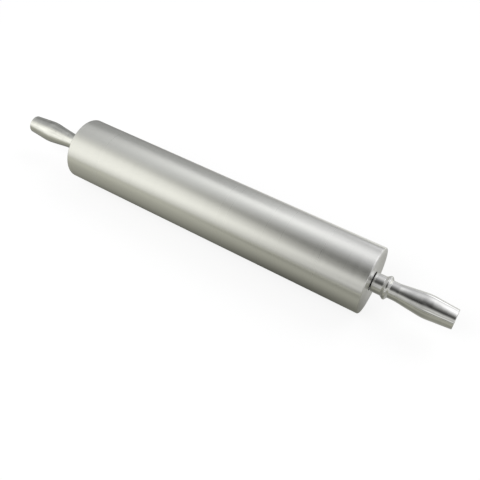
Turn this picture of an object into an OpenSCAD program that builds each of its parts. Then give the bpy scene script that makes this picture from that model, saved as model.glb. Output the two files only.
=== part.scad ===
// Aluminium rolling pin: a turned tube that spins on two ball bearings round a fixed axle rod, with a
// cast handle screwed to each end of the rod. Millimetres. The origin is the middle of the barrel, on its
// axis. +X runs along the pin to the right handle and +Z is up.

/* [Barrel] */
// Length of the barrel, without the handles
barrel_l = 457.2; // [381:0.1:508]
// Outside diameter of the barrel
barrel_d = 88.9; // [82:0.1:102]
// Wall of the barrel tube
barrel_wall = 6.35; // [5:0.05:8]
// Rounding of the barrel's outer end edges
barrel_edge_r = 1.8; // [0.5:0.1:3]

/* [End plates] */
// How far the end plate reaches past the retaining ring's groove
plate_land = 1.7; // [1:0.1:6]
// How much wider the tube is bored where the end plate sits
plate_ledge = 0.5; // [0.3:0.1:1.5]
// Chamfer on the edges that meet at the end plate's rim
plate_chamfer = 0.25; // [0.1:0.05:0.5]
// Thickness of the lip that holds the bearing from the outside
lip_t = 3; // [2:0.1:4]
// Diameter of the hole through the lip
lip_hole_d = 25.5; // [23:0.1:28]

/* [Bearings] */
// Bore of the bearing
bearing_bore_d = 12; // [10:0.1:15]
// Diameter of a ball
ball_d = 5.953; // [5:0.001:7]
// Balls in a bearing
ball_count = 7; // [6:1:8]
// Wall of each race under its groove
race_wall = 2; // [1.6:0.1:2.6]
// Height of a race's shoulders above the bottom of its groove
race_shoulder = 1.1; // [0.8:0.1:1.4]
// How much wider a groove's radius is than a ball's
groove_ease = 0.12; // [0.08:0.01:0.2]
// Chamfer on the bearing's corners
race_chamfer = 0.5; // [0.2:0.1:0.8]
// Wall of the ball cage, measured along a radius
cage_wall = 2.4; // [1.6:0.1:2.8]
// Thinnest part of the cage behind a ball
cage_web = 0.6; // [0.4:0.05:1]
// How far the cage reaches past the ball centres on its open side
cage_reach = 1.3; // [0.8:0.1:1.8]
// Thickness of a seal
seal_t = 0.8; // [0.5:0.05:0.9]
// How deep a seal lies under the bearing's face
seal_inset = 0.2; // [0.1:0.05:0.3]
// Depth of the seal's seat in the outer race
seal_seat = 1; // [0.6:0.1:1.2]

/* [Retaining rings] */
// Thickness of a retaining ring
ring_t = 1.2; // [0.8:0.1:1.5]
// How deep the ring's groove is cut into the end plate
ring_groove = 0.85; // [0.6:0.05:1.2]
// Width of the ring's band, measured along a radius
ring_band = 2.8; // [2:0.1:3]
// Half the angle of the ring's open gap, at its ears
ring_gap_angle = 24; // [20:1:32]
// Diameter of an ear
ear_d = 5.2; // [4.6:0.1:5.6]
// Diameter of the plier hole in an ear
ear_hole_d = 2.5; // [2:0.1:3]

/* [Axle] */
// Height of the rod's shoulders, which the inner races sit against
axle_step = 1.5; // [1.1:0.1:2.5]
// Length of thread in each handle
thread_l = 28; // [20:0.5:40]
// Width of the relief groove at the root of the thread
relief_w = 2.5; // [1.5:0.1:4]
// Depth of that relief groove
relief_depth = 1; // [0.6:0.1:1.4]
// Chamfer on the ends of the rod
axle_chamfer = 1; // [0.5:0.1:1.5]
// Chamfer on the rod's shoulders
shoulder_chamfer = 0.5; // [0.2:0.1:0.8]
// Wall of the spacer collar
spacer_wall = 2.5; // [1.8:0.1:3]
// Chamfer on the spacer's edges
spacer_chamfer = 0.4; // [0.2:0.1:0.8]

/* [Handles] */
// Gap between the barrel's face and the handle
handle_gap = 1.1; // [0.8:0.1:5]
// Diameter of the straight neck next to the barrel
neck_d = 25.2; // [24:0.1:26.4]
// Length of the straight neck
neck_l = 13.2; // [10:0.1:18]
// Diameter of the bead
bead_d = 30.8; // [29:0.1:33]
// Length over which the neck flares up to the bead
bead_rise_l = 3.6; // [2.8:0.1:5]
// Length of the bead's crest
bead_crest_l = 2.4; // [2:0.1:4]
// Length over which the bead drops to the waist
bead_fall_l = 2.8; // [2.2:0.1:4]
// Diameter of the waist behind the bead
waist_d = 22.8; // [21.5:0.1:23.8]
// Length of the waist
waist_l = 9.4; // [7:0.1:14]
// Diameter at which the two tapers of the grip would meet if its crest weren't rounded
grip_d = 31.5; // [29:0.1:34]
// Length of the taper from the waist up to there
grip_rise_l = 36.4; // [30:0.1:44]
// Length of the taper from there down to the tip
grip_fall_l = 35.5; // [28:0.1:44]
// Diameter of the handle's flat tip
tip_d = 25.4; // [22:0.1:28]
// Rounding of the grip's crest, along the handle
grip_crest_r = 70; // [40:1:90]
// Rounding where the waist runs out into the grip
grip_foot_r = 40; // [20:1:60]
// Rounding of the bead's foot, on its neck side
bead_foot_r = 2; // [1:0.1:3]
// Rounding of the bead's two crest edges
bead_crest_r = 1.6; // [1:0.1:2]
// Rounding where the bead meets the waist
bead_root_r = 0.8; // [0.4:0.1:1.2]
// Rounding of the handle's two end edges
handle_edge_r = 0.9; // [0.4:0.1:1.4]
// Depth of the threaded hole past the end of the rod
hole_spare = 4; // [2:0.5:6]
// Chamfer at the mouth of the threaded hole
hole_chamfer = 1; // [0.4:0.1:1.4]
// Point angle of the drill that made the hole
drill_angle = 118; // [90:1:140]

/* [Fits] */
// Radial play of a piece seated in or on another
seat_play = 0.02; // [0.01:0.01:0.04]
// Radial play between a ball and each raceway
ball_play = 0.0235; // [0.02:0.0005:0.05]
// Play of a ball in its cage pocket
pocket_play = 0.1235; // [0.1:0.0005:0.2]
// Gap between a seal's lip and the inner race
lip_play = 0.2; // [0.15:0.01:0.3]
// Gap between the cage and each seal
cage_play = 0.3; // [0.2:0.01:0.35]
// Radial play of the thread in the handle
thread_play = 0.05; // [0.02:0.01:0.1]
// Play of the retaining ring in its groove
ring_play = 0.1; // [0.05:0.01:0.15]

/* [Hidden] */

LEFT = -1;
RIGHT = 1;
arc_steps = 6;
cut_over = 1;
$fn = 96;

barrel_r = barrel_d / 2;
tube_bore_r = barrel_r - barrel_wall;
plate_seat_r = tube_bore_r + plate_ledge;
plate_r = plate_seat_r - seat_play;

// The bearing, 32 mm across and 10 mm wide, built up from its bore and its balls
ball_r = ball_d / 2;
bearing_bore_r = bearing_bore_d / 2;
inner_groove_r = bearing_bore_r + race_wall;
pitch_r = inner_groove_r + ball_play + ball_r;
outer_groove_r = pitch_r + ball_r + ball_play;
bearing_r = outer_groove_r + race_wall;
bearing_seat_r = bearing_r + seat_play;
groove_r = ball_r + groove_ease;
inner_shoulder_r = inner_groove_r + race_shoulder;
outer_shoulder_r = outer_groove_r - race_shoulder;
seal_rim_r = outer_shoulder_r + seal_seat;
seal_lip_r = inner_shoulder_r + lip_play;
pocket_r = ball_r + pocket_play;
cage_back = pocket_r + cage_web;
seal_back = cage_back + cage_play;
seal_face = seal_back + seal_t;
bearing_w = 2 * (seal_face + seal_inset);

plate_t = lip_t + bearing_w + ring_t + ring_play + plate_land;

// Places along X, all for the right end
face_x = barrel_l / 2;
plate_back_x = face_x - plate_t;
bearing_front_x = face_x - lip_t;
bearing_mid_x = bearing_front_x - bearing_w / 2;
bearing_back_x = bearing_front_x - bearing_w;
ring_back_x = bearing_back_x - ring_t;
handle_x = face_x + handle_gap;
rod_end_x = handle_x + thread_l;

journal_r = bearing_bore_r - seat_play;
axle_r = journal_r + axle_step;
spacer_r = bearing_bore_r + spacer_wall;
ring_groove_r = bearing_seat_r + ring_groove;
ring_r = ring_groove_r - ring_play;
ring_inner_r = ring_r - ring_band;
ear_mid_r = ring_inner_r + ring_band / 2 - ear_d / 2;
thread_hole_r = journal_r + thread_play;

// Points of an arc that rounds corner b between a and c. A corner is [radius, place, rounding].
function along(from, to) = (to - from) / norm(to - from);
function corner_arc(a, b, c) = b[2] == 0 ? [[b[0], b[1]]] : let(
    corner = [b[0], b[1]],
    back = along(corner, [a[0], a[1]]),
    ahead = along(corner, [c[0], c[1]]),
    half = acos(back * ahead) / 2,
    middle = corner + along([0, 0], back + ahead) * b[2] / sin(half),
    from = corner + back * b[2] / tan(half) - middle,
    to = corner + ahead * b[2] / tan(half) - middle,
    sweep = 180 - 2 * half,
    turn = sign(from[0] * to[1] - from[1] * to[0])
) [for (i = [0 : arc_steps]) let(t = turn * sweep * i / arc_steps)
    middle + [from[0] * cos(t) - from[1] * sin(t), from[0] * sin(t) + from[1] * cos(t)]];
function rounded(corners) = [for (i = [0 : len(corners) - 1]) each corner_arc(
    corners[(i + len(corners) - 1) % len(corners)], corners[i], corners[(i + 1) % len(corners)])];

// An outline that runs in the middle of the pin and its mirror image, joined into one
function both_ends(half) = concat(
    [for (i = [len(half) - 1 : -1 : 0]) [half[i][0], -half[i][1], half[i][2]]], half);

// A solid of revolution about X. Its 2D outline holds [radius, place along X].
module turned() rotate([0, 90, 0]) rotate_extrude() children();

// Draws the right end's piece, or its mirror image at the left end
module at_end(side) {
    if (side == LEFT) mirror([1, 0, 0]) children();
    else children();
}

module barrel_tube() {
    half = [
        [barrel_r, face_x, barrel_edge_r],
        [plate_seat_r + plate_chamfer, face_x, 0],
        [plate_seat_r, face_x - plate_chamfer, 0],
        [plate_seat_r, plate_back_x, 0],
        [tube_bore_r, plate_back_x, 0]
    ];
    color([0.77, 0.77, 0.75]) turned() polygon(rounded(both_ends(half)));
}

module axle_rod() {
    root_x = handle_x + relief_w;
    half = [
        [axle_r, bearing_back_x - shoulder_chamfer, 0],
        [axle_r - shoulder_chamfer, bearing_back_x, 0],
        [journal_r, bearing_back_x, 0],
        [journal_r, handle_x, 0],
        [journal_r - relief_depth, handle_x, 0],
        [journal_r - relief_depth, root_x, 0],
        [journal_r, root_x, 0],
        [journal_r, rod_end_x - axle_chamfer, 0],
        [journal_r - axle_chamfer, rod_end_x, 0],
        [0, rod_end_x, 0]
    ];
    color([0.62, 0.63, 0.64]) turned() polygon(rounded(both_ends(half)));
}

module end_plate(side) {
    color([0.72, 0.72, 0.7]) at_end(side) turned() polygon([
        [plate_r - plate_chamfer, face_x],
        [plate_r, face_x - plate_chamfer],
        [plate_r, plate_back_x],
        [bearing_seat_r, plate_back_x],
        [bearing_seat_r, ring_back_x - ring_play],
        [ring_groove_r, ring_back_x - ring_play],
        [ring_groove_r, bearing_back_x],
        [bearing_seat_r, bearing_back_x],
        [bearing_seat_r, bearing_front_x],
        [lip_hole_d / 2, bearing_front_x],
        [lip_hole_d / 2, face_x - plate_chamfer],
        [lip_hole_d / 2 + plate_chamfer, face_x]
    ]);
}

module bearing_outer_race(side) {
    color([0.7, 0.71, 0.73]) at_end(side) translate([bearing_mid_x, 0, 0]) turned() difference() {
        polygon([
            [bearing_r - race_chamfer, -bearing_w / 2],
            [bearing_r, race_chamfer - bearing_w / 2],
            [bearing_r, bearing_w / 2 - race_chamfer],
            [bearing_r - race_chamfer, bearing_w / 2],
            [seal_rim_r, bearing_w / 2],
            [seal_rim_r, seal_back],
            [outer_shoulder_r, seal_back],
            [outer_shoulder_r, -seal_back],
            [seal_rim_r, -seal_back],
            [seal_rim_r, -bearing_w / 2]
        ]);
        translate([outer_groove_r - groove_r, 0]) circle(groove_r);
    }
}

module bearing_inner_race(side) {
    color([0.7, 0.71, 0.73]) at_end(side) translate([bearing_mid_x, 0, 0]) turned() difference() {
        polygon([
            [bearing_bore_r + race_chamfer, -bearing_w / 2],
            [inner_shoulder_r, -bearing_w / 2],
            [inner_shoulder_r, bearing_w / 2],
            [bearing_bore_r + race_chamfer, bearing_w / 2],
            [bearing_bore_r, bearing_w / 2 - race_chamfer],
            [bearing_bore_r, race_chamfer - bearing_w / 2]
        ]);
        translate([inner_groove_r + groove_r, 0]) circle(groove_r);
    }
}

// Draws its child at each ball's centre
module at_each_ball() {
    for (i = [0 : ball_count - 1])
        translate([bearing_mid_x, 0, 0]) rotate([360 * i / ball_count, 0, 0]) translate([0, 0, pitch_r]) children();
}

module bearing_balls(side) {
    color([0.8, 0.81, 0.83]) at_end(side) at_each_ball() sphere(ball_r);
}

module bearing_cage(side) {
    color([0.2, 0.21, 0.22]) at_end(side) difference() {
        translate([bearing_mid_x, 0, 0]) turned() polygon([
            [pitch_r - cage_wall / 2, -cage_back],
            [pitch_r + cage_wall / 2, -cage_back],
            [pitch_r + cage_wall / 2, cage_reach],
            [pitch_r - cage_wall / 2, cage_reach]
        ]);
        at_each_ball() sphere(pocket_r);
    }
}

// A seal ring in the outer race. face is +1 for the bearing's outboard face and -1 for its inboard face.
module bearing_seal(side, face) {
    color([0.09, 0.09, 0.1]) at_end(side) translate([bearing_mid_x, 0, 0]) turned() polygon([
        [seal_lip_r, face * seal_back],
        [seal_rim_r - seat_play, face * seal_back],
        [seal_rim_r - seat_play, face * seal_face],
        [seal_lip_r, face * seal_face]
    ]);
}

module retaining_ring(side) {
    reach = ring_r / cos(ring_gap_angle) + cut_over;
    color([0.35, 0.36, 0.38]) at_end(side) translate([ring_back_x, 0, 0]) rotate([0, 90, 0])
        linear_extrude(ring_t) difference() {
            union() {
                difference() {
                    circle(ring_r);
                    circle(ring_inner_r);
                    polygon([
                        [0, 0],
                        [reach * cos(ring_gap_angle), -reach * sin(ring_gap_angle)],
                        [reach * cos(ring_gap_angle), reach * sin(ring_gap_angle)]
                    ]);
                }
                for (way = [-1, 1]) rotate(way * ring_gap_angle) translate([ear_mid_r, 0]) circle(ear_d / 2);
            }
            for (way = [-1, 1]) rotate(way * ring_gap_angle) translate([ear_mid_r, 0]) circle(ear_hole_d / 2);
        }
}

module spacer(side) {
    color([0.16, 0.16, 0.17]) at_end(side) turned() polygon([
        [bearing_bore_r, bearing_front_x],
        [spacer_r - spacer_chamfer, bearing_front_x],
        [spacer_r, bearing_front_x + spacer_chamfer],
        [spacer_r, handle_x - spacer_chamfer],
        [spacer_r - spacer_chamfer, handle_x],
        [bearing_bore_r, handle_x]
    ]);
}

module handle(side) {
    bead_x = handle_x + neck_l;
    crest_x = bead_x + bead_rise_l;
    fall_x = crest_x + bead_crest_l;
    waist_x = fall_x + bead_fall_l;
    foot_x = waist_x + waist_l;
    grip_x = foot_x + grip_rise_l;
    tip_x = grip_x + grip_fall_l;
    hole_end_x = rod_end_x + hole_spare;
    hole_point_x = hole_end_x + thread_hole_r / tan(drill_angle / 2);
    color([0.8, 0.8, 0.8]) at_end(side) turned() polygon(rounded([
        [thread_hole_r + hole_chamfer, handle_x, 0],
        [neck_d / 2, handle_x, handle_edge_r],
        [neck_d / 2, bead_x, bead_foot_r],
        [bead_d / 2, crest_x, bead_crest_r],
        [bead_d / 2, fall_x, bead_crest_r],
        [waist_d / 2, waist_x, bead_root_r],
        [waist_d / 2, foot_x, grip_foot_r],
        [grip_d / 2, grip_x, grip_crest_r],
        [tip_d / 2, tip_x, handle_edge_r],
        [0, tip_x, 0],
        [0, hole_point_x, 0],
        [thread_hole_r, hole_end_x, 0],
        [thread_hole_r, handle_x + hole_chamfer, 0]
    ]));
}

module end_plate_left() end_plate(LEFT);
module end_plate_right() end_plate(RIGHT);
module bearing_outer_race_left() bearing_outer_race(LEFT);
module bearing_outer_race_right() bearing_outer_race(RIGHT);
module bearing_inner_race_left() bearing_inner_race(LEFT);
module bearing_inner_race_right() bearing_inner_race(RIGHT);
module bearing_balls_left() bearing_balls(LEFT);
module bearing_balls_right() bearing_balls(RIGHT);
module bearing_cage_left() bearing_cage(LEFT);
module bearing_cage_right() bearing_cage(RIGHT);
module bearing_outboard_seal_left() bearing_seal(LEFT, 1);
module bearing_outboard_seal_right() bearing_seal(RIGHT, 1);
module bearing_inboard_seal_left() bearing_seal(LEFT, -1);
module bearing_inboard_seal_right() bearing_seal(RIGHT, -1);
module retaining_ring_left() retaining_ring(LEFT);
module retaining_ring_right() retaining_ring(RIGHT);
module spacer_left() spacer(LEFT);
module spacer_right() spacer(RIGHT);
module handle_left() handle(LEFT);
module handle_right() handle(RIGHT);

barrel_tube();
axle_rod();
end_plate_left();
end_plate_right();
bearing_outer_race_left();
bearing_outer_race_right();
bearing_inner_race_left();
bearing_inner_race_right();
bearing_balls_left();
bearing_balls_right();
bearing_cage_left();
bearing_cage_right();
bearing_outboard_seal_left();
bearing_outboard_seal_right();
bearing_inboard_seal_left();
bearing_inboard_seal_right();
retaining_ring_left();
retaining_ring_right();
spacer_left();
spacer_right();
handle_left();
handle_right();
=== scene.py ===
"""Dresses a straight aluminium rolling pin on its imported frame, with a studio round it.

The barrel, the end plates, the spacers and the handles are made again as smooth turned surfaces,
the parts inside keep the frame's shapes, and everything gets a finish. Lengths are in metres, X runs
along the pin, and the axis that it turns about passes through the origin.
"""

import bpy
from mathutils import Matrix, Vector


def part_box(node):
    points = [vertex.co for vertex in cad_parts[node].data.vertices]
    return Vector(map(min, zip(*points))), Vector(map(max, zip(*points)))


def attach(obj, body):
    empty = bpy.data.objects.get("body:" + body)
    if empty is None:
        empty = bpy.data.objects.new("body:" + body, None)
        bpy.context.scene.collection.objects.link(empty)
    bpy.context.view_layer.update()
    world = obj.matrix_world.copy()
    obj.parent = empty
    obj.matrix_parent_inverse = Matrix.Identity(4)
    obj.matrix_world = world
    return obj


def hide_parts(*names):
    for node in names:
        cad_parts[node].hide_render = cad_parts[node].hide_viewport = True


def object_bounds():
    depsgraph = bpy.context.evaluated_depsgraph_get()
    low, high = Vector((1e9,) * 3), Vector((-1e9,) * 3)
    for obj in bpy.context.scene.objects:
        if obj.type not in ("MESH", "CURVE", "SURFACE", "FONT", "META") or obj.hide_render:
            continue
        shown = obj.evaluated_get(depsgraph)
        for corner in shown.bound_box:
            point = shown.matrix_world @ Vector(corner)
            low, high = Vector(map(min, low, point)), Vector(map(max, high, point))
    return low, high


bl_info = {
    "name": "Rolling Pin",
    "version": (1, 0, 0),
    "blender": (4, 5, 0),
    "location": "3D View > Sidebar > Rolling Pin",
    "description": "Makes the visible surfaces of a straight rolling pin and the studio round it",
    "category": "Object",
}

import bpy
import numpy as np
from bpy.props import FloatProperty, FloatVectorProperty, PointerProperty
from mathutils import Matrix

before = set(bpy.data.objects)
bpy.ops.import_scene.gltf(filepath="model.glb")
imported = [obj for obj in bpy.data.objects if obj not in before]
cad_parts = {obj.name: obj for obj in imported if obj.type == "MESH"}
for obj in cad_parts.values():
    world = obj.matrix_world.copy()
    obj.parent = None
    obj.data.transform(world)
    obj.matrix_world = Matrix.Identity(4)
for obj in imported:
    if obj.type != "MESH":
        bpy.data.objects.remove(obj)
CAD_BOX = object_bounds()
TURNED_MAP = "turned"

BARREL_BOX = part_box("barrel_tube")
PLATE_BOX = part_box("end_plate_right")
SPACER_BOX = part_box("spacer_right")
HANDLE_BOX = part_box("handle_right")
SIDES = {"left": -1.0, "right": 1.0}

# A radius below ON_AXIS and a distance below SAME_POINT count as none
ON_AXIS = 1e-9
SAME_POINT = 1e-8
# An edge that turns by more than this is sharp
SHARP_TURN = np.radians(30)
# Parts of a rounding, and how close to its ends a flat side gets an extra point
ARC_STEPS = 14
HOLD = 0.0003


# Shapes


def unit(vectors):
    """Each vector divided by its length."""
    return vectors / np.linalg.norm(vectors, axis=-1, keepdims=True)


def rounded_outline(corners, steps):
    """A closed outline whose corners are (place along X, radius, rounding).

    Where the two sides at a corner make the angle 2h, an arc of the rounding's radius touches both. Its
    middle lies on the line that halves the angle, rounding / sin h from the corner, and it turns through
    180 degrees less 2h in equal steps. A corner with no rounding stays one point.
    """
    corners = np.asarray(corners, float)
    point, rounding = corners[:, :2], corners[:, 2:]
    back = unit(np.roll(point, 1, 0) - point)
    ahead = unit(np.roll(point, -1, 0) - point)
    half = np.arccos(np.clip((back * ahead).sum(1, keepdims=True), -1, 1)) / 2
    middle = point + unit(back + ahead) * rounding / np.sin(half)
    start = point + back * rounding / np.tan(half) - middle
    way = np.sign(back[:, :1] * ahead[:, 1:] - back[:, 1:] * ahead[:, :1])
    angle = -way * (np.pi - 2 * half) * np.linspace(0, 1, steps + 1)
    arc = np.stack(
        [
            middle[:, :1] + start[:, :1] * np.cos(angle) - start[:, 1:] * np.sin(angle),
            middle[:, 1:] + start[:, :1] * np.sin(angle) + start[:, 1:] * np.cos(angle),
        ],
        -1,
    ).reshape(-1, 2)
    fresh = np.linalg.norm(arc - np.roll(arc, 1, 0), axis=1) > SAME_POINT
    return arc[fresh]


def with_extra_points(outline, longest, hold):
    """The outline with more points: every stretch is cut into equal parts no longer than `longest`, and a
    stretch of more than four holds gets a point at the distance `hold` from each of its ends, which keeps
    its shading flat right up to a rounding."""
    ahead = np.roll(outline, -1, 0) - outline
    length = np.linalg.norm(ahead, axis=1)
    parts = np.maximum(1, np.ceil(length / longest)).astype(int)
    stretch = np.repeat(np.arange(len(outline)), parts)
    part = np.arange(parts.sum()) - np.repeat(np.cumsum(parts) - parts, parts)
    share = part / parts[stretch]
    held = np.flatnonzero(length > 4 * hold)
    stretch = np.concatenate([stretch, held, held])
    share = np.concatenate([share, hold / length[held], 1 - hold / length[held]])
    order = np.lexsort([share, stretch])
    stretch, share = stretch[order], share[order]
    return outline[stretch] + ahead[stretch] * share[:, None]


def outwards(outline):
    """The outline in the order that turns its surface outwards: round its inside anticlockwise, with the
    place along X to the right and the radius up. Twice its area is the sum of x r' - x' r over its
    sides."""
    x, r = outline.T
    area = (x * np.roll(r, -1) - np.roll(x, -1) * r).sum()
    return outline if area > 0 else outline[::-1]


def opened_at_axis(outline):
    """The outline without its stretch along the axis: from its last point there round to its first."""
    on_axis = outline[:, 1] < ON_AXIS
    outline = np.roll(outline, -np.flatnonzero(on_axis & ~np.roll(on_axis, 1))[0], 0)
    last = np.flatnonzero(outline[:, 1] < ON_AXIS)[-1]
    return np.concatenate([outline[last:], outline[:1]])


def turned_mesh(name, outline, around, swell=None):
    """The surface that a closed outline sweeps round the X axis.

    Point (i, j) is (x_i, r_i cos v_j, r_i sin v_j), where v_j is j equal parts of a full turn. `swell`
    takes the x and v of every point and gives what is added to its radius. Where the outline touches the
    axis, it ends in a pole, closed by a fan. The map's U runs along the outline and its V round the pin,
    and a ring is sharp where the outline turns by more than SHARP_TURN.
    """
    closed = not (outline[:, 1] < ON_AXIS).any()
    if not closed:
        outline = opened_at_axis(outline)
    rings = len(outline)
    x, r = outline.T
    v = 2 * np.pi * np.arange(around) / around
    radius = np.repeat(r[:, None], around, 1)
    if swell is not None:
        radius = radius + swell(x[:, None], v[None, :]) * (r > ON_AXIS)[:, None]
    points = np.stack(
        [np.repeat(x[:, None], around, 1), radius * np.cos(v), radius * np.sin(v)], -1
    )

    place = np.arange(rings * around).reshape(rings, around)
    keep = np.ones((rings, around), bool)
    if not closed:
        place[[0, -1]] = place[[0, -1], :1]
        keep[[0, -1], 1:] = False
    number = (np.cumsum(keep) - 1)[place]
    i, j = np.meshgrid(np.arange(rings if closed else rings - 1), np.arange(around), indexing="ij")
    i, j = i.ravel(), j.ravel()
    ni, nj = (i + 1) % rings, (j + 1) % around
    corners = np.stack([number[i, j], number[ni, j], number[ni, nj], number[i, nj]], 1)

    step = np.linalg.norm(np.roll(outline, -1, 0) - outline, axis=1)
    along = np.concatenate([[0], np.cumsum(step)])
    along = along / along[-1 if closed else -2]
    u0, u1, v0, v1 = along[i], along[i + 1], j / around, (j + 1) / around
    spread = np.stack([u0, v0, u1, v0, u1, v1, u0, v1], 1).reshape(-1, 4, 2)

    at_start = corners[:, 0] == corners[:, 3]
    at_end = corners[:, 1] == corners[:, 2]
    kinds = (
        (~(at_start | at_end), [0, 1, 2, 3]),
        (at_start, [0, 1, 2]),
        (at_end, [0, 1, 3]),
    )
    faces, mapped = [], []
    for chosen, used in kinds:
        faces += corners[chosen][:, used].tolist()
        mapped.append(spread[chosen][:, used].ravel())
    mesh = bpy.data.meshes.new(name)
    mesh.from_pydata(points[keep].tolist(), [], faces)
    mesh.polygons.foreach_set("use_smooth", np.ones(len(faces), bool))
    mesh.uv_layers.new(name=TURNED_MAP, do_init=False)
    mesh.uv_layers[TURNED_MAP].uv.foreach_set("vector", np.concatenate(mapped).astype(np.float32))

    ahead = unit(np.roll(outline, -1, 0) - outline)
    turn = np.arccos(np.clip((ahead * np.roll(ahead, 1, 0)).sum(1), -1, 1))
    sharp_ring = turn > SHARP_TURN
    if not closed:
        sharp_ring[[0, -1]] = False
    ring = np.repeat(np.arange(rings), around)[keep.ravel()]
    ends = np.zeros(len(mesh.edges) * 2, np.int32)
    mesh.edges.foreach_get("vertices", ends)
    first, second = ring[ends].reshape(-1, 2).T
    mesh.edges.foreach_set("use_edge_sharp", (first == second) & sharp_ring[first])
    mesh.update()
    return mesh


# Slow waves that hand polishing leaves: waves round the handle, radians to the metre along it, how far
# the side of the pin moves them, and weight
SLOW_WAVES = ((2, 130, 1, 1.0), (3, -210, 2, 0.7), (5, 300, 0, 0.5))


def unevenness(most, foot, tip, way):
    """What a handle's radius gains at the place x and the angle v: the slow waves added up, `most` where
    they all agree, and faded to nothing at the neck's face and at the tip."""

    def swell(x, v):
        depth = np.abs(x)
        waves = [
            weight * np.sin(turns * v + pace * depth + lead * way)
            for turns, pace, lead, weight in SLOW_WAVES
        ]
        fade = np.clip((depth - foot) / 0.02, 0, 1) * np.clip((tip - depth) / 0.004, 0, 1)
        return most / sum(wave[-1] for wave in SLOW_WAVES) * sum(waves) * fade

    return swell


def grid_mesh(name, points, shade=None):
    """An open sheet from a grid of points, one face between each four neighbours. `shade` gives the
    colour of each point as the mesh's own attribute `glow`."""
    rows, columns = points.shape[:2]
    number = np.arange(rows * columns).reshape(rows, columns)
    corners = np.stack(
        [number[:-1, :-1], number[1:, :-1], number[1:, 1:], number[:-1, 1:]], -1
    )
    mesh = bpy.data.meshes.new(name)
    mesh.from_pydata(points.reshape(-1, 3).tolist(), [], corners.reshape(-1, 4).tolist())
    mesh.polygons.foreach_set("use_smooth", np.ones(len(mesh.polygons), bool))
    if shade is not None:
        glow = mesh.attributes.new("glow", "FLOAT_COLOR", "POINT")
        colour = np.concatenate([shade.reshape(-1, 3), np.ones((rows * columns, 1))], 1)
        glow.data.foreach_set("color", colour.astype(np.float32).ravel())
    mesh.update()
    return mesh


def new_piece(name, mesh, finish, body=None, replaced=()):
    """Puts a mesh into the scene with its finish, on its body, in place of the frame's own nodes."""
    piece = bpy.data.objects.new(name, mesh)
    bpy.context.scene.collection.objects.link(piece)
    mesh.materials.append(finish)
    if body is not None:
        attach(piece, body)
        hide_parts(*replaced)
    return piece


def finish_nodes(finish, *names):
    """Gives nodes of the frame a finish and leaves their shapes alone."""
    for name in names:
        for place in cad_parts[name].material_slots:
            place.material = finish


# Finishes


def add(tree, kind, inputs=None, **properties):
    """Adds a node. Each input takes a plain value or the output socket that feeds it."""
    node = tree.nodes.new("ShaderNode" + kind)
    for name, value in properties.items():
        setattr(node, name, value)
    for name, value in (inputs or {}).items():
        if isinstance(value, bpy.types.NodeSocket):
            tree.links.new(value, node.inputs[name])
        else:
            node.inputs[name].default_value = value
    return node


def emptied_tree(block):
    """The node tree of a new material or world, with its default nodes taken out."""
    block.use_nodes = True
    block.node_tree.nodes.clear()
    return block.node_tree


def new_finish(name, inputs, **builders):
    """A material with one shader. `inputs` are the shader's plain values, and each builder is called
    with the node tree and the object's coordinates and gives the output that feeds the socket."""
    material = bpy.data.materials.new(name)
    tree = emptied_tree(material)
    place = add(tree, "TexCoord").outputs["Object"]
    fed = {socket.replace("_", " "): build(tree, place) for socket, build in builders.items()}
    shader = add(tree, "BsdfPrincipled", {**inputs, **fed})
    out = add(tree, "OutputMaterial", {"Surface": shader.outputs[0]})
    out.is_active_output = True
    return material


def axial(tree, place):
    """Distance along the pin."""
    return add(tree, "SeparateXYZ", {"Vector": place}).outputs["X"]


def radial(tree, place):
    """Distance from the pin's axis."""
    flat = add(tree, "VectorMath", {0: place, 1: (0.0, 1.0, 1.0)}, operation="MULTIPLY")
    return add(tree, "VectorMath", {0: flat.outputs[0]}, operation="LENGTH").outputs["Value"]


def lines(tree, distance, per_metre, detail=3.0, rough=0.6):
    """Uneven tool lines across a distance, about so many to the metre."""
    inputs = {"W": distance, "Scale": per_metre, "Detail": detail, "Roughness": rough}
    return add(tree, "TexNoise", inputs, noise_dimensions="1D").outputs[0]


def clouds(tree, place, per_metre, detail=3.0, rough=0.5, stretch=(1.0, 1.0, 1.0)):
    """Soft uneven patches, about so many to the metre, drawn out by `stretch`."""
    squeeze = tuple(1.0 / s for s in stretch)
    place = add(tree, "VectorMath", {0: place, 1: squeeze}, operation="MULTIPLY").outputs[0]
    inputs = {"Vector": place, "Scale": per_metre, "Detail": detail, "Roughness": rough}
    return add(tree, "TexNoise", inputs, noise_dimensions="3D").outputs[0]


def total(tree, *parts):
    """The sum of (output, weight) pairs."""
    so_far = 0.0
    for part, weight in parts:
        inputs = {0: part, 1: weight, 2: so_far}
        so_far = add(tree, "Math", inputs, operation="MULTIPLY_ADD").outputs[0]
    return so_far


def ranged(tree, value, low, high, new_low, new_high):
    """A value stretched from one range to another and held inside it."""
    inputs = {
        "Value": value, "From Min": low, "From Max": high, "To Min": new_low, "To Max": new_high
    }
    return add(tree, "MapRange", inputs, clamp=True).outputs["Result"]


def shades(tree, value, *stops):
    """A colour for each value, from (value, colour) stops."""
    ramp = add(tree, "ValToRGB", {"Fac": value})
    elements = ramp.color_ramp.elements
    while len(elements) < len(stops):
        elements.new(0.5)
    for element, (place, colour) in zip(elements, stops):
        element.position = place
        element.color = (*colour, 1.0)
    return ramp.outputs["Color"]


def bumps(tree, height, depth):
    """A normal tilted by a height between 0 and 1 that stands for `depth`."""
    return add(tree, "Bump", {"Height": height, "Distance": depth, "Strength": 1.0}).outputs[0]


def scaled(colour, by):
    """A colour made lighter or darker."""
    return tuple(min(1.0, c * by) for c in colour)


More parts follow.
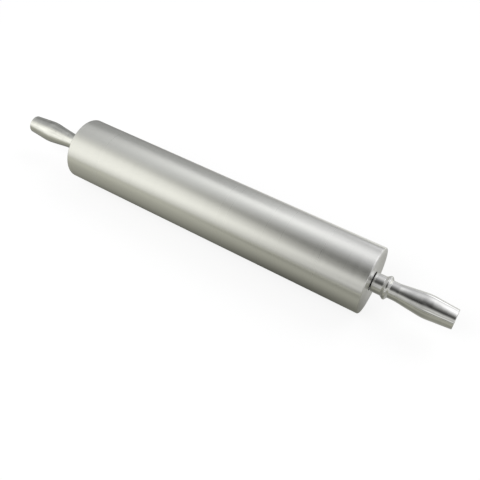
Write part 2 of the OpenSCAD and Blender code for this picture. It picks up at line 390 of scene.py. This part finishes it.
def turned_metal(name, settings, distance, fine, broad, depth, spread):
    """Metal cut on a lathe: fine lines round the axis, which spread the light along the outline and
    hardly round it, with slower bands where the tool chattered."""

    def line_mix(tree, place):
        across = distance(tree, place)
        cuts, bands = lines(tree, across, fine), lines(tree, across, broad, detail=2.0)
        return total(tree, (cuts, 0.55), (bands, 0.45))

    def colour(tree, place):
        patches = clouds(tree, place, 14.0)
        value = total(tree, (line_mix(tree, place), 0.7), (patches, 0.3))
        dark, light = scaled(settings.colour, 1 - spread), scaled(settings.colour, 1 + spread)
        return shades(tree, value, (0.32, dark), (0.68, light))

    def roughness(tree, place):
        low, high = settings.roughness - 0.03, settings.roughness + 0.03
        return ranged(tree, line_mix(tree, place), 0.3, 0.7, low, high)

    return new_finish(
        name,
        {"Metallic": 1.0, "Anisotropic": settings.grain},
        Base_Color=colour,
        Roughness=roughness,
        Normal=lambda tree, place: bumps(tree, line_mix(tree, place), depth),
        Tangent=lambda tree, place: add(
            tree, "Tangent", direction_type="UV_MAP", uv_map=TURNED_MAP
        ).outputs[0],
    )


def polished_casting(name, settings):
    """Cast aluminium polished by hand: slow waves, faint strokes of the mop along the handle, cloudy
    patches, and the few pits that polishing leaves of the casting's skin."""

    def pits(tree, place):
        cells = add(tree, "TexVoronoi", {"Vector": place, "Scale": 230.0})
        size = add(tree, "SeparateColor", {"Color": cells.outputs["Color"]}).outputs[0]
        reach = ranged(tree, size, 0.6, 1.0, 0.0, 0.26)
        inside = add(tree, "Math", {0: reach, 1: cells.outputs["Distance"]}, operation="SUBTRACT")
        return ranged(tree, inside.outputs[0], 0.0, 0.2, 0.0, 1.0)

    def colour(tree, place):
        patches = clouds(tree, place, 110.0, detail=4.0, rough=0.6, stretch=(1.6, 1.0, 1.0))
        holes = pits(tree, place)
        strokes = clouds(tree, place, 650.0, stretch=(30.0, 1.0, 1.0))
        value = total(tree, (patches, 0.7), (strokes, 0.3), (holes, -0.4))
        pitted, dull, bright = (scaled(settings.colour, by) for by in (0.6, 0.86, 1.07))
        return shades(tree, value, (0.0, pitted), (0.37, dull), (0.66, bright))

    def roughness(tree, place):
        strokes = clouds(tree, place, 500.0, stretch=(20.0, 1.0, 1.0))
        patches = clouds(tree, place, 45.0, detail=4.0)
        mix = total(tree, (strokes, 0.4), (patches, 0.6))
        low, high = settings.roughness - 0.03, settings.roughness + 0.05
        return ranged(tree, mix, 0.3, 0.7, low, high)

    def normal(tree, place):
        waves = clouds(tree, place, 55.0, detail=2.0)
        strokes = clouds(tree, place, 700.0, stretch=(25.0, 1.0, 1.0))
        height = total(tree, (waves, 1.0), (strokes, 0.035), (pits(tree, place), -0.1))
        return bumps(tree, height, settings.wave_depth)

    return new_finish(
        name, {"Metallic": 1.0}, Base_Color=colour, Roughness=roughness, Normal=normal
    )


def ground_steel(name, colour, distance, roughness, per_metre=900.0, depth=4e-6):
    """Ground steel: very fine rings and a little clouding."""

    def shade(tree, place):
        rings = lines(tree, distance(tree, place), per_metre)
        value = total(tree, (rings, 0.6), (clouds(tree, place, 120.0), 0.4))
        return shades(tree, value, (0.3, scaled(colour, 0.93)), (0.7, scaled(colour, 1.05)))

    def gloss(tree, place):
        low, high = roughness - 0.05, roughness + 0.05
        return ranged(tree, clouds(tree, place, 200.0), 0.3, 0.7, low, high)

    def normal(tree, place):
        return bumps(tree, lines(tree, distance(tree, place), per_metre), depth)

    return new_finish(name, {"Metallic": 1.0}, Base_Color=shade, Roughness=gloss, Normal=normal)


def moulded(name, colour, roughness, per_metre, depth):
    """Moulded rubber or plastic: faint clouding in the colour and a fine matt skin."""

    def shade(tree, place):
        value = clouds(tree, place, per_metre / 4)
        return shades(tree, value, (0.3, scaled(colour, 0.85)), (0.7, scaled(colour, 1.2)))

    def gloss(tree, place):
        low, high = roughness - 0.07, roughness + 0.07
        return ranged(tree, clouds(tree, place, per_metre), 0.3, 0.7, low, high)

    def normal(tree, place):
        return bumps(tree, clouds(tree, place, per_metre), depth)

    return new_finish(name, {"Metallic": 0.0}, Base_Color=shade, Roughness=gloss, Normal=normal)


# Settings


def metres(name, description, default):
    return FloatProperty(
        name=name, description=description, default=default, min=0.0, unit="LENGTH", precision=5
    )


def fraction(name, description, default):
    return FloatProperty(
        name=name, description=description, default=default, min=0.0, max=1.0, subtype="FACTOR"
    )


def tint(name, description, default):
    return FloatVectorProperty(
        name=name, description=description, default=default, min=0.0, max=1.0, size=3, subtype="COLOR"
    )


def watts(name, description, default):
    return FloatProperty(
        name=name, description=description, default=default, min=0.0, subtype="POWER"
    )


class PinBarrelSettings(bpy.types.PropertyGroup):
    edge_radius: metres("Edge rounding", "Rounding of the barrel's outer edge", 0.0018)
    wall: metres("Wall", "Thickness of the tube between the end plates", 0.00635)
    plate_ledge: metres("Plate ledge", "Depth of the step that each end plate sits on", 0.0005)
    chamfer: metres("Chamfer", "Chamfer at the mouth of each end plate's seat", 0.00025)
    colour: tint("Colour", "Colour of the turned aluminium", (0.79, 0.789, 0.783))
    roughness: fraction("Roughness", "Roughness of the turned aluminium", 0.3)
    grain: fraction(
        "Grain", "How much more the tool lines spread light along the pin than round it", 0.9
    )


class PinPlateSettings(bpy.types.PropertyGroup):
    chamfer: metres("Chamfer", "Chamfer of the plate's two outer edges", 0.00025)
    hole_diameter: metres("Hole", "Diameter of the hole that the spacer passes through", 0.0255)
    seat_diameter: metres("Bearing seat", "Diameter of the bearing's seat", 0.03204)
    lip: metres("Lip", "Thickness of the lip in front of the bearing", 0.003)
    ring_groove_diameter: metres("Ring groove", "Diameter of the retaining ring's groove", 0.03374)
    ring_groove_width: metres("Ring groove width", "Width of the retaining ring's groove", 0.0013)
    bearing_width: metres("Bearing width", "Width of the bearing", 0.01)
    colour: tint("Colour", "Colour of the faced aluminium", (0.75, 0.748, 0.735))
    roughness: fraction("Roughness", "Roughness of the faced aluminium", 0.34)
    grain: fraction(
        "Grain", "How much more the tool lines spread light outwards than round the plate", 0.7
    )


class PinHandleSettings(bpy.types.PropertyGroup):
    neck_diameter: metres("Neck", "Diameter of the straight neck", 0.0252)
    neck_length: metres("Neck length", "Length of the straight neck", 0.0132)
    bead_diameter: metres("Bead", "Diameter of the bead", 0.0308)
    bead_rise: metres("Bead rise", "Length of the bead's side towards the barrel", 0.0036)
    bead_crest: metres("Bead crest", "Length of the bead's crest", 0.0024)
    bead_fall: metres("Bead fall", "Length of the bead's side towards the grip", 0.0028)
    waist_diameter: metres("Waist", "Diameter of the waist behind the bead", 0.0228)
    waist_length: metres("Waist length", "Length of the waist", 0.0094)
    grip_diameter: metres("Grip", "Diameter at which the grip's two tapers would meet", 0.0315)
    grip_rise: metres("Grip rise", "Length of the grip's taper from the waist", 0.0364)
    tip_diameter: metres("Tip", "Diameter of the flat tip", 0.0254)
    grip_crest_radius: metres("Grip crest", "Rounding where the two tapers meet", 0.07)
    grip_foot_radius: metres("Grip foot", "Rounding where the grip leaves the waist", 0.04)
    bead_foot_radius: metres("Bead foot", "Rounding between the neck and the bead", 0.002)
    bead_crest_radius: metres("Bead rounding", "Rounding of the bead's crest", 0.0016)
    bead_root_radius: metres("Bead root", "Rounding between the bead and the waist", 0.0008)
    edge_radius: metres("Edge rounding", "Rounding of the neck's and the tip's edges", 0.0009)
    thread_diameter: metres("Threaded hole", "Diameter of the threaded hole", 0.01206)
    thread_depth: metres("Hole depth", "Depth of the threaded hole", 0.032)
    hole_chamfer: metres("Hole chamfer", "Chamfer of the threaded hole's mouth", 0.001)
    drill_angle: FloatProperty(
        name="Drill angle",
        description="Angle of the drill's point",
        default=np.radians(118),
        subtype="ANGLE",
    )
    swell: metres("Unevenness", "How far hand polishing leaves the handle out of round", 0.00006)
    wave_depth: metres("Waviness", "Depth of the slow waves in the polish", 0.00013)
    colour: tint("Colour", "Colour of the polished aluminium", (0.82, 0.82, 0.815))
    roughness: fraction("Roughness", "Roughness of the polished aluminium", 0.08)


class PinAxleSettings(bpy.types.PropertyGroup):
    spacer_bore: metres("Spacer bore", "Diameter of the spacers' bore", 0.012)
    spacer_chamfer: metres("Spacer chamfer", "Chamfer of the spacers' outer edges", 0.0004)
    steel: tint("Axle", "Colour of the axle rod's ground steel", (0.62, 0.63, 0.64))
    # The spacers are blackened, and darker still as painted shade for the gap behind each handle
    spacer: tint("Spacer", "Colour of the blackened spacers", (0.07, 0.07, 0.075))


class PinBearingSettings(bpy.types.PropertyGroup):
    races: tint("Races", "Colour of the ground races", (0.70, 0.71, 0.73))
    balls: tint("Balls", "Colour of the polished balls", (0.80, 0.81, 0.83))
    cage: tint("Cage", "Colour of the moulded cage", (0.20, 0.21, 0.22))
    seals: tint("Seals", "Colour of the rubber seals", (0.09, 0.09, 0.10))
    rings: tint("Retaining rings", "Colour of the oiled spring steel", (0.35, 0.36, 0.38))


class PinStageSettings(bpy.types.PropertyGroup):
    floor_radius: metres("Floor", "Radius of the round floor", 8.0)
    tent_radius: metres("Tent", "Radius of the light tent", 0.8)
    table_tint: tint(
        "Table tint", "Tint of the table in front, as the metal mirrors it", (0.995, 0.995, 0.845)
    )
    tent: fraction("Tent cloth", "Brightness of the tent between its panels", 0.63)
    table: fraction("Table top", "Brightness of the table between its patches", 0.54)
    ambient: FloatProperty(
        name="Ambient", description="Strength of the light from all round", default=0.55, min=0.0
    )
    key: watts("Key lamp", "Strength of the lamp in front", 38.0)
    fill: watts("Fill lamp", "Strength of the lamp behind", 26.0)
    lens: FloatProperty(
        name="Lens",
        description="Focal length on a 36 mm sensor",
        default=49.275,
        min=1.0,
        unit="CAMERA",
    )
    shift: FloatVectorProperty(
        name="Shift",
        description="How far off its centre the photograph was cut, in picture widths",
        default=(0.0357, -0.0909),
        size=2,
    )


# Operators


class PIN_OT_barrel(bpy.types.Operator):
    """Make the turned barrel"""

    bl_idname = "rolling_pin.barrel"
    bl_label = "Barrel"

    def execute(self, context):
        size = context.scene.pin_barrel
        face, outer = BARREL_BOX[1].x, BARREL_BOX[1].z
        bore = outer - size.wall
        seat = bore + size.plate_ledge
        back = PLATE_BOX[0].x
        half = np.array(
            [
                [back, bore, 0],
                [back, seat, 0],
                [face - size.chamfer, seat, 0],
                [face, seat + size.chamfer, 0],
                [face, outer, size.edge_radius],
            ]
        )
        corners = np.concatenate([half, half[::-1] * (-1, 1, 1)])
        outline = rounded_outline(corners, ARC_STEPS)
        outline = outwards(with_extra_points(outline, longest=0.006, hold=HOLD))
        finish = turned_metal(
            "turned_aluminium", size, axial, fine=1500.0, broad=160.0, depth=3e-6, spread=0.014
        )
        mesh = turned_mesh("barrel", outline, around=320)
        new_piece("barrel", mesh, finish, "barrel", ["barrel_tube"])
        return {"FINISHED"}


class PIN_OT_end_plates(bpy.types.Operator):
    """Make the faced end plates"""

    bl_idname = "rolling_pin.end_plates"
    bl_label = "End plates"

    def execute(self, context):
        size = context.scene.pin_plate
        back, face, rim = PLATE_BOX[0].x, PLATE_BOX[1].x, PLATE_BOX[1].z
        hole, seat = size.hole_diameter / 2, size.seat_diameter / 2
        groove = size.ring_groove_diameter / 2
        lip = face - size.lip
        bearing_back = lip - size.bearing_width
        groove_back = bearing_back - size.ring_groove_width
        corners = np.array(
            [
                [face, rim - size.chamfer, 0],
                [face - size.chamfer, rim, 0],
                [back, rim, 0],
                [back, seat, 0],
                [groove_back, seat, 0],
                [groove_back, groove, 0],
                [bearing_back, groove, 0],
                [bearing_back, seat, 0],
                [lip, seat, 0],
                [lip, hole, 0],
                [face - size.chamfer, hole, 0],
                [face, hole + size.chamfer, 0],
            ]
        )
        finish = turned_metal(
            "faced_aluminium", size, radial, fine=1800.0, broad=320.0, depth=9e-6, spread=0.05
        )
        for side, way in SIDES.items():
            outline = rounded_outline(corners * (way, 1, 1), steps=1)
            outline = outwards(with_extra_points(outline, longest=0.004, hold=HOLD))
            mesh = turned_mesh(f"end_plate_{side}_faced", outline, around=240)
            new_piece(mesh.name, mesh, finish, "barrel", [f"end_plate_{side}"])
        return {"FINISHED"}


class PIN_OT_handles(bpy.types.Operator):
    """Make the polished handles"""

    bl_idname = "rolling_pin.handles"
    bl_label = "Handles"

    def execute(self, context):
        size = context.scene.pin_handle
        foot, tip = HANDLE_BOX[0].x, HANDLE_BOX[1].x
        bead = foot + size.neck_length
        crest = bead + size.bead_rise
        fall = crest + size.bead_crest
        waist = fall + size.bead_fall
        rise = waist + size.waist_length
        grip = rise + size.grip_rise
        thread = size.thread_diameter / 2
        bottom = foot + size.thread_depth
        point = bottom + thread / np.tan(size.drill_angle / 2)
        corners = np.array(
            [
                [tip, 0, 0],
                [tip, size.tip_diameter / 2, size.edge_radius],
                [grip, size.grip_diameter / 2, size.grip_crest_radius],
                [rise, size.waist_diameter / 2, size.grip_foot_radius],
                [waist, size.waist_diameter / 2, size.bead_root_radius],
                [fall, size.bead_diameter / 2, size.bead_crest_radius],
                [crest, size.bead_diameter / 2, size.bead_crest_radius],
                [bead, size.neck_diameter / 2, size.bead_foot_radius],
                [foot, size.neck_diameter / 2, size.edge_radius],
                [foot, thread + size.hole_chamfer, 0],
                [foot + size.hole_chamfer, thread, 0],
                [bottom, thread, 0],
                [point, 0, 0],
            ]
        )
        finish = polished_casting("polished_aluminium", size)
        for side, way in SIDES.items():
            swell = unevenness(size.swell, foot, tip, way)
            outline = rounded_outline(corners * (way, 1, 1), ARC_STEPS)
            outline = outwards(with_extra_points(outline, longest=0.0015, hold=HOLD))
            mesh = turned_mesh(f"handle_{side}_polished", outline, around=160, swell=swell)
            new_piece(mesh.name, mesh, finish, "axle", [f"handle_{side}"])
        return {"FINISHED"}


class PIN_OT_axle(bpy.types.Operator):
    """Finish the axle rod and make the spacers"""

    bl_idname = "rolling_pin.axle"
    bl_label = "Axle and spacers"

    def execute(self, context):
        size = context.scene.pin_axle
        rod = ground_steel("ground_axle_steel", size.steel, axial, roughness=0.3)
        finish_nodes(rod, "axle_rod")
        near, far, outer = SPACER_BOX[0].x, SPACER_BOX[1].x, SPACER_BOX[1].z
        bore, cut = size.spacer_bore / 2, size.spacer_chamfer
        corners = np.array(
            [
                [near, bore, 0],
                [near, outer - cut, 0],
                [near + cut, outer, 0],
                [far - cut, outer, 0],
                [far, outer - cut, 0],
                [far, bore, 0],
            ]
        )
        # Blackened steel, made darker as painted shade for the dark gap between each handle and its plate
        finish = ground_steel("blackened_steel_and_gap_shade", size.spacer, axial, roughness=0.38)
        for side, way in SIDES.items():
            outline = rounded_outline(corners * (way, 1, 1), steps=1)
            outline = outwards(with_extra_points(outline, longest=0.001, hold=0.0002))
            mesh = turned_mesh(f"spacer_{side}_turned", outline, around=96)
            new_piece(mesh.name, mesh, finish, "axle", [f"spacer_{side}"])
        return {"FINISHED"}


class PIN_OT_bearings(bpy.types.Operator):
    """Finish the parts of both bearings and the retaining rings"""

    bl_idname = "rolling_pin.bearings"
    bl_label = "Bearings"

    def execute(self, context):
        size = context.scene.pin_bearing
        races = ground_steel("ground_race_steel", size.races, radial, roughness=0.25)
        balls = ground_steel("polished_ball_steel", size.balls, axial, roughness=0.1, per_metre=60.0)
        cage = moulded("moulded_cage", size.cage, roughness=0.45, per_metre=1800.0, depth=1e-5)
        seals = moulded("seal_rubber", size.seals, roughness=0.6, per_metre=2600.0, depth=1.5e-5)
        rings = ground_steel("oiled_spring_steel", size.rings, radial, roughness=0.35)
        for side in SIDES:
            finish_nodes(races, f"bearing_outer_race_{side}", f"bearing_inner_race_{side}")
            finish_nodes(balls, f"bearing_balls_{side}")
            finish_nodes(cage, f"bearing_cage_{side}")
            finish_nodes(seals, f"bearing_outboard_seal_{side}", f"bearing_inboard_seal_{side}")
            finish_nodes(rings, f"retaining_ring_{side}")
        return {"FINISHED"}


# Stage

# Soft panels (brighter) and flags (darker) on the tent, in degrees: angle round the pin from the front
# horizon over the top, angle along the pin, reach round it, reach along it, and glow
TENT_PANELS = (
    (10, 25, 6, 15, 0.69),
    (31, 44, 15, 48, 0.60),
    (38, -39, 20, 17, -0.58),
    (39, -28, 36, 44, 1.30),
    (44, 0, 21, 11, -0.58),
    (51, 15, 70, 46, -0.93),
    (70, -14, 14, 13, -0.38),
    (108, 28, 24, 6, -0.66),
    (114, -42, 43, 6, -0.44),
    (118, 35, 33, 13, 1.30),
    (127, -58, 50, 14, -0.80),
    (129, -43, 48, 88, 0.64),
    (135, -6, 28, 6, 1.30),
    (142, -13, 14, 6, -0.83),
    (161, -23, 32, 41, -0.58),
    (170, 23, 6, 9, 1.30),
)

# Painted light and shade on the glowing table card, in metres: place behind the pin, place along it,
# reach behind, reach along, and glow. The two darker patches just off the pin's line are its painted
# shadow
TABLE_PAINTED_LIGHT = (
    (-0.349, 0.020, 0.087, 0.181, -0.36),
    (-0.262, -0.109, 0.118, 0.541, 0.20),
    (-0.250, 0.248, 0.118, 0.287, -0.34),
    (-0.014, -0.148, 0.036, 0.141, -0.21),
    (-0.013, 0.167, 0.073, 0.226, -0.36),
    (0.022, 0.271, 0.041, 0.070, 0.37),
    (0.209, 0.477, 0.081, 0.618, 0.70),
    (0.255, -0.435, 0.391, 0.678, -0.38),
)


# The fitted camera: the directions to its right and out of its back, and its place
CAMERA_RIGHT = (0.84347, 0.53718, -0.00080)
CAMERA_BACK = (0.37499, -0.58773, 0.71691)
CAMERA_PLACE = (0.33574, -0.51031, 0.65105)
SENSOR_WIDTH = 36.0


def soft_light(base, panels, first, second, darkest=0.03):
    """How bright a sheet is at the places (first, second): `base` plus, for each panel with the middle
    (p, q), the reaches h and w and the glow g, g exp(-((first - p) / h)^2 - ((second - q) / w)^2), and
    never under `darkest`."""
    p, q, h, w, g = np.array(panels).T
    far = ((first[..., None] - p) / h) ** 2 + ((second[..., None] - q) / w) ** 2
    return np.maximum(darkest, base + (g * np.exp(-far)).sum(-1))


def seen_share(tree, share_seen):
    """`share_seen` for camera, glossy and transmission rays, and 0 for the rest."""
    path = add(tree, "LightPath").outputs
    seen = path["Is Camera Ray"]
    for kind in ("Is Glossy Ray", "Is Transmission Ray"):
        seen = add(tree, "Math", {0: seen, 1: path[kind]}, operation="MAXIMUM").outputs[0]
    return add(tree, "Math", {0: seen, 1: share_seen}, operation="MULTIPLY").outputs[0]


def stage_finish(name, surface):
    """A material for the stage, whose shader `surface` builds."""
    material = bpy.data.materials.new(name)
    tree = emptied_tree(material)
    add(tree, "OutputMaterial", {"Surface": surface(tree)})
    return material


def mirrored_only(piece):
    """Shows a stage piece to metal and glass, and keeps it out of the picture and of the light."""
    piece.visible_camera = False
    piece.visible_diffuse = False
    piece.visible_shadow = False
    piece.visible_volume_scatter = False


def glowing_finish(name):
    """A surface as bright as its own attribute `glow`."""

    def surface(tree):
        glow = add(tree, "Attribute", attribute_name="glow").outputs["Color"]
        return add(tree, "Emission", {"Color": glow, "Strength": 1.0}).outputs[0]

    finish = stage_finish(name, surface)
    finish.cycles.emission_sampling = "NONE"
    return finish


def make_floor(size):
    """The pale floor, a flat disc under the barrel: white, with the pin's soft shadow. From `near` to
    `far` from the middle the white takes over, so that no horizon shows."""
    near, far, white_near = 0.4, 0.9, 0.82
    turn, reach = np.meshgrid(
        np.linspace(0, 2 * np.pi, 97), np.linspace(0.001, size.floor_radius, 9)
    )
    bottom = np.full_like(turn, CAD_BOX[0].z)
    points = np.stack([reach * np.cos(turn), reach * np.sin(turn), bottom], -1)

    def surface(tree):
        place = add(tree, "TexCoord").outputs["Object"]
        away = add(tree, "VectorMath", {0: place}, operation="LENGTH").outputs["Value"]
        white_share = ranged(tree, away, near, far, white_near, 1.0)
        matt = add(tree, "BsdfDiffuse", {"Color": (0.95, 0.95, 0.95, 1.0)})
        white = add(tree, "Emission", {"Color": (1.0, 1.0, 1.0, 1.0), "Strength": 1.0})
        inputs = {0: seen_share(tree, white_share), 1: matt.outputs[0], 2: white.outputs[0]}
        return add(tree, "MixShader", inputs).outputs[0]

    new_piece("floor", grid_mesh("floor", points), stage_finish("white_floor", surface))


def make_table(size):
    """A glowing card a hair over the floor that only metal and glass see: a painted reflection of a grey
    table top, whose light and shade, with the pin's painted shadow, are painted into its glow. It gets
    warmer towards the front, where it takes on the whole tint."""
    reach, lift = np.linspace(-0.9, 0.9, 181), 0.0004
    tint_behind, tint_per_metre = 0.35, 22
    x, y = np.meshgrid(reach, reach)
    # Painted light and shade: the table's brightness, darker under the pin as its painted shadow
    glow = soft_light(size.table, TABLE_PAINTED_LIGHT, y, x)[..., None]
    warm = np.clip(tint_behind - tint_per_metre * y, tint_behind, 1)[..., None]
    glow = glow * (1 - warm * (1 - np.array(size.table_tint)))
    points = np.stack([x, y, np.full_like(x, CAD_BOX[0].z + lift)], -1)
    mesh = grid_mesh("table_card", points, glow)
    table = new_piece("table_card", mesh, glowing_finish("table_painted_reflection"))
    mirrored_only(table)


def make_tent(size):
    """The light tent: a dome whose point at the angle t round the pin and the angle a along it is
    R (sin a, -cos a cos t, cos a sin t), and which glows where its panels are. `front` and `left` go from
    0 to 1 over 24 and 12 degrees, and its cloth is a little warmer there."""
    t, a = np.meshgrid(np.arange(-6, 187, 1.0), np.arange(-90, 91, 1.5), indexing="ij")
    glow = soft_light(size.tent, TENT_PANELS, t, a)
    front = np.clip((96 - t) / 24, 0, 1)[..., None]
    left = np.clip((3 - a) / 12, 0, 1)[..., None]
    less_blue, less_red = np.array((0, 0, 0.042)), np.array((0.01, 0, 0))
    tinge = 1 - (front + left) * less_blue - left * (1 - front) * less_red
    t, a = np.radians(t), np.radians(a)
    radius = size.tent_radius
    points = radius * np.stack([np.sin(a), -np.cos(a) * np.cos(t), np.cos(a) * np.sin(t)], -1)

    mesh = grid_mesh("light_tent", points, glow[..., None] * tinge)
    tent = new_piece("light_tent", mesh, glowing_finish("tent_cloth"))
    mirrored_only(tent)


def pose(right, back, place):
    """The matrix of a camera or lamp, from the directions to its right and out of its back and its
    place."""
    matrix = np.eye(4)
    matrix[:3] = np.stack([right, np.cross(back, right), back, place], 1)
    return Matrix(matrix.tolist())


def make_lamp(name, power, place, width):
    """A square soft lamp that points at the pin."""
    lamp = bpy.data.lights.new(name, "AREA")
    lamp.energy = power
    lamp.size = width
    holder = bpy.data.objects.new(name, lamp)
    bpy.context.scene.collection.objects.link(holder)
    back = unit(np.array(place))
    holder.matrix_world = pose(unit(np.cross((0, 0, 1), back)), back, place)
    holder.visible_glossy = False


def make_world(size):
    """White all round for the camera, metal and glass, and a softer light for the rest."""
    world = bpy.data.worlds.new("studio")
    tree = emptied_tree(world)
    strength = ranged(tree, seen_share(tree, 1.0), 0.0, 1.0, size.ambient, 1.0)
    sky = add(tree, "Background", {"Color": (1.0, 1.0, 1.0, 1.0), "Strength": strength})
    add(tree, "OutputWorld", {"Surface": sky.outputs[0]})
    bpy.context.scene.world = world


def make_camera(size):
    """The camera of the photograph, fitted to the barrel's and the handles' outlines."""
    data = bpy.data.cameras.new("camera")
    data.lens = size.lens
    data.shift_x, data.shift_y = size.shift
    data.sensor_width = SENSOR_WIDTH
    camera = bpy.data.objects.new("camera", data)
    bpy.context.scene.collection.objects.link(camera)
    right, back = unit(np.array((CAMERA_RIGHT, CAMERA_BACK)))
    camera.matrix_world = pose(right, back, CAMERA_PLACE)
    bpy.context.scene.camera = camera


class PIN_OT_stage(bpy.types.Operator):
    """Make the floor, the light tent, the lamps and the camera"""

    bl_idname = "rolling_pin.stage"
    bl_label = "Stage"

    def execute(self, context):
        size = context.scene.pin_stage
        make_floor(size)
        make_table(size)
        make_tent(size)
        make_lamp("key_lamp", size.key, place=(-0.9, -1.5, 1.9), width=1.6)
        make_lamp("fill_lamp", size.fill, place=(1.0, 1.5, 1.8), width=1.8)
        make_world(size)
        make_camera(size)
        context.scene.view_settings.view_transform = "Standard"
        return {"FINISHED"}


OPERATORS = (
    PIN_OT_barrel,
    PIN_OT_end_plates,
    PIN_OT_handles,
    PIN_OT_axle,
    PIN_OT_bearings,
    PIN_OT_stage,
)
SETTINGS = {
    "pin_barrel": PinBarrelSettings,
    "pin_plate": PinPlateSettings,
    "pin_handle": PinHandleSettings,
    "pin_axle": PinAxleSettings,
    "pin_bearing": PinBearingSettings,
    "pin_stage": PinStageSettings,
}


class PIN_PT_pieces(bpy.types.Panel):
    """A button for each group of pieces and one for the stage"""

    bl_idname = "PIN_PT_pieces"
    bl_label = "Rolling Pin"
    bl_space_type = "VIEW_3D"
    bl_region_type = "UI"
    bl_category = "Rolling Pin"

    def draw(self, context):
        for operator in OPERATORS:
            self.layout.operator(operator.bl_idname)


def register():
    for name, group in SETTINGS.items():
        bpy.utils.register_class(group)
        setattr(bpy.types.Scene, name, PointerProperty(type=group))
    for part in (*OPERATORS, PIN_PT_pieces):
        bpy.utils.register_class(part)


def unregister():
    for part in reversed((*OPERATORS, PIN_PT_pieces)):
        bpy.utils.unregister_class(part)
    for name, group in reversed(SETTINGS.items()):
        delattr(bpy.types.Scene, name)
        bpy.utils.unregister_class(group)


def main():
    register()
    bpy.ops.rolling_pin.stage()
    bpy.ops.rolling_pin.barrel()
    bpy.ops.rolling_pin.end_plates()
    bpy.ops.rolling_pin.handles()
    bpy.ops.rolling_pin.axle()
    bpy.ops.rolling_pin.bearings()


if __name__ == "__main__":
    main()
